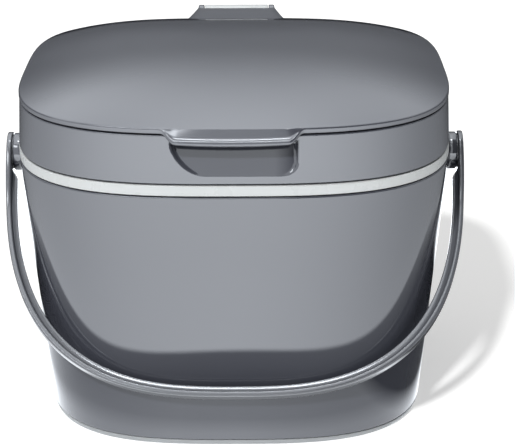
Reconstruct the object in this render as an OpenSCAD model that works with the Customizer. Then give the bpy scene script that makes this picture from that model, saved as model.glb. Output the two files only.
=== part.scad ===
// Worktop compost caddy: a tapered pail, a lift-off frame with a hinged domed lid,
// and a swinging bail handle. Millimetres, front towards -Y, standing on z = 0.

/* [Pail] */
// Width of the pail at its rim, side to side
rim_w = 191.8; // [150:0.2:240]
// Depth of the pail at its rim, front to back
rim_d = 174.8; // [140:0.2:220]
// Height of the pail's rim above the table
rim_h = 119.8; // [90:0.1:180]
// How far each side leans in between the rim and the table
side_lean = 10; // [2:0.5:16]
// Squareness of every outline seen from above: 2 is an ellipse
squareness = 3.05; // [2.4:0.05:4]
// Squareness of the outlines' back half, whose corners are tighter
back_squareness = 3.8; // [2.4:0.05:4.4]
// Wall of the pail
pail_wall = 2.8; // [2.4:0.1:3.6]
// Thickness of the pail's floor
floor_t = 2.8; // [2:0.1:5]
// Radius inside, where the wall turns into the floor
inner_r = 16; // [6:1:24]

/* [Foot ring] */
// Height of the soft foot ring
foot_h = 2.4; // [2:0.1:8]
// Width of the foot ring, from its outside inwards
foot_w = 8; // [5:0.5:14]

/* [Lid frame] */
// Height of the pale band that shows between pail and collar
band_h = 4.6; // [3:0.1:10]
// Gap between the pail's rim and the frame
frame_gap = 0.5; // [0.3:0.1:1.5]
// Wall of the frame's skirt inside the pail
skirt_t = 1.6; // [1.2:0.1:2.4]
// How far the skirt reaches down into the pail
skirt_h = 7.8; // [4:0.1:14]
// Height of the collar above the pale band
collar_h = 21.3; // [20:0.1:40]
// Wall of the collar
collar_wall = 2.9; // [2:0.1:3.4]
// How far the collar draws in towards its top
collar_lean = 1.1; // [0:0.1:1.4]
// Width of the collar's flat top, where the lid seals
land_w = 4.5; // [4:0.1:6]

/* [Finger scoop] */
// Width of the finger scoop in the collar
scoop_w = 53.4; // [50:0.2:90]
// Depth of the finger scoop
scoop_depth = 5.6; // [3:0.1:5.8]
// Height of the finger scoop's mouth
scoop_h = 15.7; // [13:0.1:18]
// Corner radius at the scoop's lower ends
scoop_corner_r = 9; // [4:0.5:14]

/* [Lid] */
// How far the lid's edge stays inside the rim's outline
lid_inset = 0.9; // [0.5:0.1:1]
// Gap between the collar's top and the lid's edge
lid_gap = 0.7; // [0.5:0.1:1.5]
// Height of the lid's upright edge
lid_edge_h = 2.2; // [1.8:0.1:4]
// Rise of the dome above the lid's edge
dome_rise = 13; // [6:0.5:24]
// How flat the dome's middle is: 2 is a plain dome
dome_power = 2.8; // [2:0.1:4]
// Thickness of the lid's shell
lid_t = 2.2; // [1.6:0.1:3]
// Width of the lid's front lip
lip_w = 54.4; // [50:0.2:90]
// How far the front lip hangs below the lid's shoulder
lip_drop = 4.9; // [4.5:0.1:6]
// Depth of the liner below the collar's top
liner_depth = 5.2; // [3:0.1:10]
// Wall of the liner tray
liner_t = 1.5; // [1.2:0.1:2.2]

/* [Lid hinge] */
// Radius of the hinge barrel and of the lid's two ears
barrel_r = 5; // [4:0.1:6]
// Length of the hinge barrel
barrel_l = 31.4; // [20:0.2:60]
// Thickness of each hinge ear
ear_t = 2.8; // [2:0.1:5]
// Diameter of the steel hinge pin
hinge_pin_d = 3; // [2:0.1:4]
// Extra width of the fairing where it meets the dome, each side
fairing_flare = 4.7; // [1:0.1:10]

/* [Handle] */
// Room between the loop and the lid's hinge when the handle swings over
swing_room = 10; // [3:0.5:30]
// Squareness of the handle's loop
loop_squareness = 2.8; // [2.4:0.1:3.6]
// Thickness of the handle's flat strap
strap_t = 2.4; // [1.8:0.1:2.6]
// Width of the strap
strap_w = 6; // [5:0.5:10]
// How far the rib stands inwards from the strap
rib_h = 2.5; // [1.5:0.1:3]
// Thickness of the rib
rib_t = 3; // [2:0.1:5]
// Radius of the round ends of the handle
end_r = 9; // [8:0.1:12]

/* [Handle pivots] */
// Height of the pivots below the pail's rim
pivot_drop = 9.3; // [9:0.1:20]
// Length of each pivot hub, from the pail's side to the washer
hub_l = 6.5; // [6:0.1:14]
// Radius of the round pivot hubs on the pail's sides
hub_r = 8.6; // [7:0.1:8.8]
// Radius of the hub's shank in the pail's wall
shank_r = 4.5; // [4:0.1:5.5]
// Diameter of the pivot pins
pivot_pin_d = 5; // [4:0.1:6]
// Radius of the pivot pins' flat heads
pin_head_r = 5; // [4.5:0.1:6]
// Thickness of the pivot pins' flat heads
pin_head_t = 1.2; // [0.8:0.1:1.4]
// Thickness of the washer between hub and handle
washer_t = 0.4; // [0.3:0.1:1]

/* [Fits] */
// Radial clearance of a pin that turns in its bore
run_fit = 0.05; // [0.02:0.01:0.1]
// Clearance between pieces that move past each other
part_gap = 0.3; // [0.2:0.05:0.6]

/* [Hidden] */

// Sides of every outline, a multiple of four
sides = 80;
$fn = 64;

rim_hw = rim_w / 2;
rim_hd = rim_d / 2;

// Heights
band_z0 = rim_h + frame_gap;
band_z1 = band_z0 + band_h;
collar_z1 = band_z1 + collar_h;
lid_z0 = collar_z1 + lid_gap;
shoulder_z = lid_z0 + lid_edge_h;

// Places measured outwards from the rim's outline, so inward ones are negative
skirt_out = -pail_wall - 0.8;
upstand_out = -collar_wall - 0.1;
land_in = -collar_lean - land_w;
lid_wall_in = -lid_inset - lid_t;
seal_out = lid_wall_in - 0.2;
liner_out = -scoop_depth - 2.6;
lid_rib_out = liner_out - liner_t - 0.1;
lid_rib_in = lid_rib_out - liner_t;
seal_w = 1.9;
seal_h = 1.5;
seal_seat_z = collar_z1 + part_gap + seal_h;
groove_out = -1;
groove_in = -2.6;
groove_h = 1.2;
liner_z0 = collar_z1 - liner_depth;
edge_r = 0.4;

// Lid hinge axis
hinge_y = rim_hd + 1;
hinge_z = lid_z0 + barrel_r;
hinge_pin_l = barrel_l + 2 * ear_t + 2 * part_gap;

// Handle pivots
pivot_z = rim_h - pivot_drop;
wall_x = rim_hw - side_lean * pivot_drop / rim_h;
spot_x = wall_x - 0.5;
hub_x1 = spot_x + hub_l;
handle_x0 = hub_x1 + washer_t + 0.05;
handle_x1 = handle_x0 + strap_t;
handle_w = 2 * handle_x1;
shank_x0 = wall_x - pail_wall + 0.3;
pin_depth = hub_x1 - spot_x;
rib_start = 10;

// The loop reaches far enough to swing over the hinge, and hangs against the pail's front
hinge_reach = norm([hinge_y + barrel_r, hinge_z + barrel_r - pivot_z]);
handle_reach = hinge_reach + swing_room + strap_t + rib_h;
handle_lean = rest_lean(30, 80, 16);

pail_grey = [0.45, 0.46, 0.49];
lid_grey = [0.49, 0.50, 0.53];
handle_grey = [0.36, 0.37, 0.39];
pale_grey = [0.86, 0.87, 0.87];
seal_grey = [0.28, 0.29, 0.31];
steel = [0.72, 0.73, 0.75];

// Squareness at a place, by its side of the pail's middle line
function squareness_at(y) = y > 0 ? back_squareness : squareness;

// One outline seen from above, as a superellipse with the given half width and half depth
function outline(hw, hd) = [
    for (i = [0:sides - 1])
        let (a = 360 * (i + 0.5) / sides, c = cos(a), s = sin(a), n = squareness_at(s))
            [hw * sign(c) * pow(abs(c), 2 / n), hd * sign(s) * pow(abs(s), 2 / n)]
];

// A ring of the outline at a height, offset outwards from the rim
function ring(off, z) = [rim_hw + off, rim_hd + off, z];

// Inward lean of the pail's outside at a height
function lean(z) = -side_lean * (1 - z / rim_h);

// A ring of the lid's dome, from 0 at the middle to 1 at its edge, lowered by drop
function dome_ring(share, drop) = [
    (rim_hw - lid_inset) * share,
    (rim_hd - lid_inset) * share,
    dome_z(share) - drop
];
function dome_z(share) = shoulder_z + dome_rise * (1 - pow(share, dome_power));

// Height of the dome at a distance from the middle, towards the back
function dome_z_at(y) = dome_z(y / (rim_hd - lid_inset));

// A solid through outlines stacked along a profile. Capped, it closes with a flat
// face at both ends; otherwise the last outline joins the first and leaves a ring.
module loft(rings, capped) {
    n = len(rings);
    last = capped ? n - 2 : n - 1;
    points = [for (r = rings) for (p = outline(r[0], r[1])) [p[0], p[1], r[2]]];
    walls = [
        for (k = [0:last]) for (i = [0:sides - 1])
            let (
                up = (k + 1) % n,
                j = (i + 1) % sides,
                a = k * sides + i,
                b = k * sides + j,
                c = up * sides + j,
                d = up * sides + i
            )
            for (t = [[a, d, c], [a, c, b]]) t
    ];
    caps = capped ? [
        [for (i = [0:sides - 1]) i],
        [for (i = [sides - 1:-1:0]) (n - 1) * sides + i]
    ] : [];
    polyhedron(points = points, faces = concat(walls, caps));
}

// A cylinder lying along X between two places, whatever their order
module x_rod(r, x0, x1) {
    translate([min(x0, x1), 0, 0])
        rotate([0, 90, 0])
            cylinder(r = r, h = abs(x1 - x0));
}

module pail() {
    floor_z = foot_h + floor_t;
    color(pail_grey)
        difference() {
            loft(concat(
                [
                    ring(lean(foot_h) - foot_w, 1.2),
                    ring(lean(foot_h) - foot_w, foot_h),
                    ring(lean(foot_h) - 0.8, foot_h),
                    ring(lean(foot_h + 0.6), foot_h + 0.6),
                    ring(lean(rim_h - 0.9), rim_h - 0.9),
                    ring(-0.3, rim_h - 0.25),
                    ring(-0.9, rim_h),
                    ring(-pail_wall + 0.5, rim_h),
                    ring(-pail_wall, rim_h - 0.5)
                ],
                [
                    for (a = [0:18:90])
                        let (z = floor_z + inner_r * (1 - sin(a)))
                            ring(lean(floor_z + inner_r) - pail_wall - inner_r * (1 - cos(a)), z)
                ]
            ), true);
            for (side = [-1, 1])
                translate([0, 0, pivot_z]) {
                    x_rod(hub_r, side * spot_x, side * (rim_hw + 5));
                    x_rod(shank_r, side * (shank_x0 - 3), side * (rim_hw + 5));
                }
        }
}

module foot_ring() {
    color(seal_grey)
        loft([
            ring(lean(foot_h) - foot_w, 0),
            ring(lean(0) - 1.1, 0),
            ring(lean(0) - 0.4, 0.4),
            ring(lean(0) - 0.1, 1.2),
            ring(lean(foot_h) - 0.3, foot_h - 0.5),
            ring(lean(foot_h) - 0.9, foot_h),
            ring(lean(foot_h) - foot_w, foot_h)
        ], false);
}

module pivot_hub(side) {
    color(pail_grey)
        translate([0, 0, pivot_z])
            difference() {
                union() {
                    x_rod(hub_r, side * spot_x, side * hub_x1);
                    x_rod(shank_r, side * shank_x0, side * (spot_x + 1));
                }
                x_rod(pivot_pin_d / 2, side * (hub_x1 - pin_depth), side * (hub_x1 + 1));
            }
}

module pivot_hub_left() {
    pivot_hub(-1);
}

module pivot_hub_right() {
    pivot_hub(1);
}

module pivot_pin(side) {
    color(steel)
        translate([0, 0, pivot_z]) {
            x_rod(pivot_pin_d / 2, side * (hub_x1 - pin_depth), side * (handle_x1 - pin_head_t / 2));
            x_rod(pin_head_r, side * (handle_x1 - pin_head_t), side * handle_x1);
        }
}

module pivot_pin_left() {
    pivot_pin(-1);
}

module pivot_pin_right() {
    pivot_pin(1);
}

module pivot_washer(side) {
    color(seal_grey)
        translate([0, 0, pivot_z])
            difference() {
                x_rod(hub_r - 0.8, side * hub_x1, side * (hub_x1 + washer_t));
                x_rod(pivot_pin_d / 2 + run_fit, side * (hub_x1 - 1), side * (handle_x0 + 1));
            }
}

module pivot_washer_left() {
    pivot_washer(-1);
}

module pivot_washer_right() {
    pivot_washer(1);
}

// Half a superellipse in the handle's own plane, from one arm round to the other
function loop_points(hw, reach) = [
    for (i = [0:60])
        let (a = 3 * i, c = cos(a), s = max(sin(a), 0))
            [hw * sign(c) * pow(abs(c), 2 / loop_squareness), reach * pow(s, 2 / loop_squareness)]
];

// Gap between the pail and a point of the handle, given in the handle's own plane
function pail_gap(u, v, back, angle) =
    let (
        y = back * cos(angle) - v * sin(angle),
        z = pivot_z - v * cos(angle) - back * sin(angle),
        hw = rim_hw + lean(z),
        hd = rim_hd + lean(z),
        n = squareness_at(y),
        size = pow(pow(abs(u / hw), n) + pow(abs(y / hd), n), 1 / n)
    )
        (1 - 1 / size) * norm([u, y]);

// Least gap when the handle leans forward by an angle, at the strap's edges and the rib's
function least_gap(angle) = min([
    for (line = [[0, strap_w / 2], [strap_t, strap_w / 2], [strap_t + rib_h, rib_t / 2]])
        for (p = loop_points(handle_x1 - line[0], handle_reach - line[0]))
            pail_gap(p[0], p[1], line[1], angle)
]);

// The lean at which the handle just rests, found by halving the range between two leans
function rest_lean(low, high, steps) =
    steps == 0 ? high :
    let (mid = (low + high) / 2)
        least_gap(mid) > part_gap ? rest_lean(low, mid, steps - 1) : rest_lean(mid, high, steps - 1);

// The band between two such loops, as thick as given across the handle's plane
module loop_band(inset_out, inset_in, thick) {
    outside = loop_points(handle_x1 - inset_out, handle_reach - inset_out);
    inside = loop_points(handle_x1 - inset_in, handle_reach - inset_in);
    count = len(inside);
    linear_extrude(thick, center = true)
        polygon(concat(outside, [for (i = [count - 1:-1:0]) inside[i]]));
}

module handle() {
    blend_l = 4 * end_r;
    color(handle_grey)
        translate([0, 0, pivot_z])
            difference() {
                union() {
                    rotate([270 - handle_lean, 0, 0]) {
                        // The strap widens from its own width to the round ends
                        intersection() {
                            loop_band(0, strap_t, 2 * end_r);
                            rotate([90, 0, 90])
                                linear_extrude(handle_w + 2, center = true)
                                    polygon([
                                        [0, -end_r * 0.98],
                                        [end_r * 0.4, -end_r * 0.9],
                                        [blend_l * 0.5, -strap_w * 0.62],
                                        [blend_l, -strap_w / 2],
                                        [handle_reach + 1, -strap_w / 2],
                                        [handle_reach + 1, strap_w / 2],
                                        [blend_l, strap_w / 2],
                                        [blend_l * 0.5, strap_w * 0.62],
                                        [end_r * 0.4, end_r * 0.9],
                                        [0, end_r * 0.98]
                                    ]);
                        }
                        difference() {
                            loop_band(strap_t - 0.2, strap_t + rib_h, rib_t);
                            for (side = [-1, 1])
                                scale([side, 1, 1])
                                    translate([0, 0, -rib_t])
                                        linear_extrude(2 * rib_t)
                                            polygon([
                                                [0, -1],
                                                [handle_x1 + 1, -1],
                                                [handle_x1 + 1, rib_start - 1],
                                                [handle_x0, rib_start],
                                                [handle_x0 - rib_h - 1, rib_start + 2 * rib_h],
                                                [0, rib_start + 2 * rib_h]
                                            ]);
                        }
                    }
                    for (side = [-1, 1])
                        x_rod(end_r, side * handle_x0, side * handle_x1);
                }
                for (side = [-1, 1]) {
                    x_rod(pivot_pin_d / 2 + run_fit, side * (handle_x0 - 1), side * (handle_x1 + 1));
                    x_rod(
                        pin_head_r + run_fit,
                        side * (handle_x1 - pin_head_t - run_fit),
                        side * (handle_x1 + 1)
                    );
                }
            }
}

module frame_ring() {
    web_y0 = rim_hd + 0.2;
    web_y1 = hinge_y + 1.9;
    web_w = barrel_l - 0.6;
    color(pale_grey)
        difference() {
            union() {
                loft([
                    ring(skirt_out - skirt_t, rim_h - skirt_h),
                    ring(skirt_out, rim_h - skirt_h),
                    ring(skirt_out, band_z0),
                    ring(groove_in, band_z0),
                    ring(groove_in, band_z0 + groove_h),
                    ring(groove_out, band_z0 + groove_h),
                    ring(groove_out, band_z0),
                    ring(-0.3, band_z0),
                    ring(0, band_z0 + 0.3),
                    ring(0, band_z1 - 0.3),
                    ring(-0.3, band_z1),
                    ring(upstand_out, band_z1),
                    ring(upstand_out, band_z1 + skirt_t + 3),
                    ring(skirt_out - skirt_t, band_z1 + skirt_t + 3)
                ], false);
                // The bracket at the back that carries the hinge barrel
                translate([-web_w / 2, rim_hd - 1.6, band_z0 + groove_h + 0.4])
                    cube([web_w, web_y1 - rim_hd + 1.6, band_h - groove_h - 0.8]);
                translate([-web_w / 2, web_y0, band_z0 + groove_h + 0.4])
                    cube([web_w, web_y1 - web_y0, hinge_z - band_z0 - groove_h - 0.4]);
                translate([0, hinge_y, hinge_z])
                    x_rod(barrel_r, -barrel_l / 2, barrel_l / 2);
            }
            translate([0, hinge_y, hinge_z])
                x_rod(hinge_pin_d / 2 + run_fit, -barrel_l, barrel_l);
        }
}

module rim_seal() {
    color(seal_grey)
        loft([
            ring(groove_in, band_z0 - frame_gap + part_gap),
            ring(groove_out, band_z0 - frame_gap + part_gap),
            ring(groove_out, band_z0 + groove_h),
            ring(groove_in, band_z0 + groove_h)
        ], false);
}

// The finger scoop, or the shell behind it when grown by that shell's thickness
module scoop_shape(grow) {
    mouth_z0 = collar_z1 - 2 - scoop_h;
    mouth_z1 = collar_z1 - 2 + grow;
    front_y = -rim_hd + 0.2;
    rise = scoop_h * 0.73;
    bowl_r = (rise * rise + scoop_depth * scoop_depth) / (2 * scoop_depth) + grow;
    bowl_y = front_y + scoop_depth + grow - bowl_r;
    bowl_z = mouth_z0 + rise;
    half_w = scoop_w / 2 + grow;
    corner_r = scoop_corner_r + grow;
    intersection() {
        union() {
            translate([0, bowl_y, bowl_z])
                x_rod(bowl_r, -half_w - 1, half_w + 1);
            translate([-half_w - 1, bowl_y, bowl_z])
                cube([2 * half_w + 2, bowl_r, mouth_z1 - bowl_z]);
        }
        translate([0, front_y + scoop_depth + grow + 1, 0])
            rotate([90, 0, 0])
                linear_extrude(2 * bowl_r + 2)
                    union() {
                        translate([-half_w, mouth_z0 - grow + corner_r])
                            square([2 * half_w, mouth_z1 - mouth_z0 + grow - corner_r]);
                        translate([-half_w + corner_r, mouth_z0 - grow])
                            square([2 * (half_w - corner_r), corner_r + 1]);
                        for (side = [-1, 1])
                            translate([side * (half_w - corner_r), mouth_z0 - grow + corner_r])
                                circle(corner_r);
                    }
    }
}

module collar() {
    scoop_wall = 1.6;
    color(pail_grey)
        difference() {
            union() {
                loft([
                    ring(-collar_wall, band_z1),
                    ring(-1.2, band_z1),
                    ring(-1.2, band_z1 + 0.8),
                    ring(-0.2, band_z1 + 0.8),
                    ring(0, band_z1 + 1),
                    ring(-collar_lean, collar_z1 - 0.6),
                    ring(-collar_lean - 0.5, collar_z1),
                    ring(land_in, collar_z1),
                    ring(land_in, collar_z1 - 1.8),
                    ring(-collar_lean - collar_wall, collar_z1 - 1.8),
                    ring(-collar_wall, collar_z1 - 5)
                ], false);
                // The shell behind the finger scoop, kept inside the collar's front face
                intersection() {
                    scoop_shape(scoop_wall);
                    translate([-scoop_w, -rim_hd + 2.3, band_z1 + 0.5])
                        cube([2 * scoop_w, 3 * scoop_depth, collar_h - 1]);
                }
            }
            scoop_shape(0);
        }
}

// The front lip, drawn from the side and trimmed to its rounded front view
module lip() {
    edge_y = -rim_hd + lid_inset;
    half_w = lip_w / 2;
    corner_r = lip_drop;
    bead_r = 1.2;
    intersection() {
        union() {
            rotate([90, 0, 90])
                linear_extrude(lip_w, center = true)
                    polygon([
                        [edge_y + 3, shoulder_z - 0.3],
                        [edge_y + 0.3, shoulder_z + 0.1],
                        [edge_y - 1.5, shoulder_z - lip_drop * 0.27],
                        [edge_y - 2.8, shoulder_z - lip_drop * 0.67],
                        [edge_y - 3.3, shoulder_z - lip_drop],
                        [edge_y - 1.8, shoulder_z - lip_drop],
                        [edge_y - 0.9, shoulder_z - lip_drop * 0.68],
                        [edge_y + 0.6, shoulder_z - lip_drop * 0.42],
                        [edge_y + 3, shoulder_z - lip_drop * 0.4]
                    ]);
            translate([0, edge_y - 2.9, shoulder_z - lip_drop])
                x_rod(bead_r, -half_w, half_w);
        }
        translate([0, edge_y + 8, shoulder_z + 2])
            rotate([90, 0, 0])
                linear_extrude(20)
                    union() {
                        translate([-half_w, -lip_drop - 2 - bead_r + corner_r])
                            square([2 * half_w, lip_drop + 2]);
                        translate([-half_w + corner_r, -lip_drop - 2 - bead_r])
                            square([2 * (half_w - corner_r), corner_r + 1]);
                        for (side = [-1, 1])
                            translate([side * (half_w - corner_r), -lip_drop - 2 - bead_r + corner_r])
                                circle(corner_r);
                    }
    }
}

// The raised fairing at the back that ends in the two hinge ears
module fairing() {
    ear_hw = hinge_pin_l / 2;
    front_y = hinge_y - 21;
    reach = hinge_y - front_y;
    intersection() {
        rotate([90, 0, 90])
            linear_extrude(2 * (ear_hw + fairing_flare), center = true)
                union() {
                    polygon([
                        [front_y, dome_z_at(front_y) - lid_t * 0.8],
                        [front_y, dome_z_at(front_y) + 0.05],
                        [hinge_y - barrel_r - 0.8, hinge_z + barrel_r * 0.88],
                        [hinge_y - barrel_r * 0.4, hinge_z + barrel_r],
                        [hinge_y, hinge_z + barrel_r],
                        [hinge_y, hinge_z - barrel_r * 0.5],
                        [hinge_y - barrel_r, shoulder_z - lid_t * 0.6]
                    ]);
                    translate([hinge_y, hinge_z])
                        circle(barrel_r);
                }
        translate([0, 0, shoulder_z - 20])
            linear_extrude(dome_rise + 40)
                polygon([
                    [-ear_hw - fairing_flare, front_y - 1],
                    [ear_hw + fairing_flare, front_y - 1],
                    [ear_hw + fairing_flare, front_y + 1],
                    [ear_hw + fairing_flare * 0.6, front_y + reach * 0.3],
                    [ear_hw + fairing_flare * 0.27, front_y + reach * 0.55],
                    [ear_hw, hinge_y - barrel_r],
                    [ear_hw, hinge_y + barrel_r + 1],
                    [-ear_hw, hinge_y + barrel_r + 1],
                    [-ear_hw, hinge_y - barrel_r],
                    [-ear_hw - fairing_flare * 0.27, front_y + reach * 0.55],
                    [-ear_hw - fairing_flare * 0.6, front_y + reach * 0.3],
                    [-ear_hw - fairing_flare, front_y + 1]
                ]);
    }
}

module lid() {
    rib_share = (rim_hw + lid_rib_in) / (rim_hw - lid_inset);
    color(lid_grey)
        difference() {
            union() {
                loft(concat(
                    [for (share = [0.12, 0.35, 0.55, 0.7, 0.82]) dome_ring(share, lid_t)],
                    [
                        ring(lid_rib_in, dome_z(rib_share) - lid_t),
                        ring(lid_rib_in, liner_z0 + liner_t + 0.5),
                        ring(lid_rib_out, liner_z0 + liner_t + 0.5),
                        ring(lid_rib_out, seal_seat_z),
                        ring(lid_wall_in, seal_seat_z),
                        ring(lid_wall_in, lid_z0),
                        ring(-lid_inset - edge_r, lid_z0),
                        ring(-lid_inset, lid_z0 + edge_r),
                        ring(-lid_inset, shoulder_z - edge_r)
                    ],
                    [for (share = [0.995, 0.96, 0.91, 0.84, 0.75, 0.64, 0.5, 0.35, 0.2, 0.1]) dome_ring(share, 0)]
                ), true);
                lip();
                fairing();
            }
            translate([0, hinge_y, hinge_z]) {
                x_rod(barrel_r + 0.6, -barrel_l / 2 - part_gap, barrel_l / 2 + part_gap);
                x_rod(hinge_pin_d / 2, -barrel_l, barrel_l);
            }
        }
}

module lid_liner() {
    color(lid_grey)
        loft([
            ring(liner_out - 0.8, liner_z0),
            ring(liner_out, liner_z0 + 0.8),
            ring(liner_out, seal_seat_z),
            ring(liner_out - liner_t, seal_seat_z),
            ring(liner_out - liner_t, liner_z0 + liner_t)
        ], true);
}

module lid_seal() {
    color(seal_grey)
        loft([
            ring(seal_out - seal_w, collar_z1 + part_gap),
            ring(seal_out, collar_z1 + part_gap),
            ring(seal_out, seal_seat_z),
            ring(seal_out - seal_w, seal_seat_z)
        ], false);
}

module hinge_pin() {
    color(steel)
        translate([0, hinge_y, hinge_z])
            x_rod(hinge_pin_d / 2, -hinge_pin_l / 2, hinge_pin_l / 2);
}

pail();
foot_ring();
pivot_hub_left();
pivot_hub_right();
pivot_pin_left();
pivot_pin_right();
pivot_washer_left();
pivot_washer_right();
handle();
frame_ring();
rim_seal();
collar();
lid();
lid_liner();
lid_seal();
hinge_pin();
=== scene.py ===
import math

import bmesh
import bpy
from mathutils import Matrix, Vector


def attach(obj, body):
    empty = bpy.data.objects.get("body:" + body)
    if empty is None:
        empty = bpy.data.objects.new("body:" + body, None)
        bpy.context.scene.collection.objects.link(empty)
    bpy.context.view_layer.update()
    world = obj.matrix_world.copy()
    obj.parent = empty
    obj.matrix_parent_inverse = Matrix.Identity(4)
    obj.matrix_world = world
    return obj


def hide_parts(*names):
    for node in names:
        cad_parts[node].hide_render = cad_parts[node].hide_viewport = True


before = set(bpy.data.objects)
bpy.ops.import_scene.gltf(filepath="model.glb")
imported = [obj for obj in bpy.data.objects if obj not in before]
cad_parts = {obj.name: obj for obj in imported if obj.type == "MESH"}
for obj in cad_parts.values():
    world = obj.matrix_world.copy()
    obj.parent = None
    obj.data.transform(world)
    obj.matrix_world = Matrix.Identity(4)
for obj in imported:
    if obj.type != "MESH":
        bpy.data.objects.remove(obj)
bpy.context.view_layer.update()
scene = bpy.context.scene
mm = 0.001


def fromHex(text):
    # sRGB hex to the linear colour that the nodes want
    out = []
    for i in (1, 3, 5):
        c = int(text[i:i + 2], 16) / 255
        out.append(c / 12.92 if c <= 0.04045 else ((c + 0.055) / 1.055) ** 2.4)
    return (*out, 1.0)


def addNode(tree, kind, inputs=None, **settings):
    # an input is a plain value, a socket to link from, or a node whose first output is linked
    node = tree.nodes.new(kind)
    for name, value in settings.items():
        setattr(node, name, value)
    for key, value in (inputs or {}).items():
        if isinstance(value, bpy.types.Node):
            value = value.outputs[0]
        if isinstance(value, bpy.types.NodeSocket):
            tree.links.new(value, node.inputs[key])
        else:
            node.inputs[key].default_value = value
    return node


def emptyTree(holder):
    # the node tree of a material or world, with nothing in it yet
    holder.use_nodes = True
    holder.node_tree.nodes.clear()
    return holder.node_tree


def linked(name, data):
    # an object of some mesh, light or camera data, in the scene
    item = bpy.data.objects.new(name, data)
    scene.collection.objects.link(item)
    return item


# the two kinds of node that the formulas use: a sum, and a value eased from one range to another
sums, ease = "ShaderNodeMath", "ShaderNodeMapRange"
softEnds = {"interpolation_type": "SMOOTHSTEP"}

# The caddy's plan and heights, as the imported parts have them
caddy = {
    "halfWidth": 95.9,
    "halfDepth": 87.4,
    "squareness": 3.05,
    "backSquareness": 3.8,
    "sideLean": 10.0,
    "rimHeight": 119.8,
    "footHeight": 2.4,
    "bandLow": 120.3,
    "bandHigh": 124.9,
    "collarTop": 146.2,
    "lidLow": 146.9,
    "shoulder": 149.1,
    "hingeY": 88.4,
    "hingeZ": 151.9,
    "pivotZ": 110.5,
    "pivotEnd": 103.974,
    "turnSteps": 240,
}


def leanAt(z):
    return -caddy["sideLean"] * (1 - z / caddy["rimHeight"])


def fillet(rows, closed=False):
    # rows of (out, z, radius) in mm become a smooth outline with short arcs at its corners
    done = []
    count = len(rows)
    for k, (x, z, radius) in enumerate(rows):
        here = Vector((x, z))
        ends = not closed and k in (0, count - 1)
        if ends or radius <= 0:
            done.append((x, z))
            continue
        back = Vector(rows[k - 1][:2]) - here
        ahead = Vector(rows[(k + 1) % count][:2]) - here
        turn = back.angle(ahead)
        reach = min(radius / math.tan(turn / 2), back.length * 0.48, ahead.length * 0.48)
        real = reach * math.tan(turn / 2)
        a, b = back.normalized(), ahead.normalized()
        middle = here + (a + b).normalized() * (real / math.sin(turn / 2))
        start, stop = here + a * reach - middle, here + b * reach - middle
        sweep = start.angle_signed(stop)
        steps = 6 if real > 0.5 else 4
        guard = min(0.25, back.length * 0.02, ahead.length * 0.02) + reach
        done.append(tuple(here + a * min(guard, back.length * 0.5)))
        for s in range(steps + 1):
            done.append(tuple(middle + Matrix.Rotation(-sweep * s / steps, 2) @ start))
        done.append(tuple(here + b * min(guard, ahead.length * 0.5)))
    return done


def stripMesh(name, rows, closed, steps=None, crowd=0.0):
    # the flat strip that is bent round the outline: X out from the rim, Y the turn, Z the height.
    # crowd draws the steps together at the front, three quarters of the way round
    steps = steps or caddy["turnSteps"]
    mesh = bpy.data.meshes.new(name)
    points, shares = [], []
    for row in rows:
        share = row[2] if len(row) > 2 else 1.0
        for j in range(steps + 1):
            t = j / steps
            turn = t - crowd * (math.sin(math.tau * (t - 0.75)) + 1) / math.tau
            points.append((row[0] * mm, turn, row[1] * mm))
            shares.append(share)
    faces = []
    count = len(rows)
    for i in range(count if closed else count - 1):
        for j in range(steps):
            a, b = i * (steps + 1) + j, ((i + 1) % count) * (steps + 1) + j
            faces.append((a, a + 1, b + 1, b))
    mesh.from_pydata(points, [], faces)
    mesh.attributes.new("share", "FLOAT", "POINT").data.foreach_set("value", shares)
    return linked(name, mesh)


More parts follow.
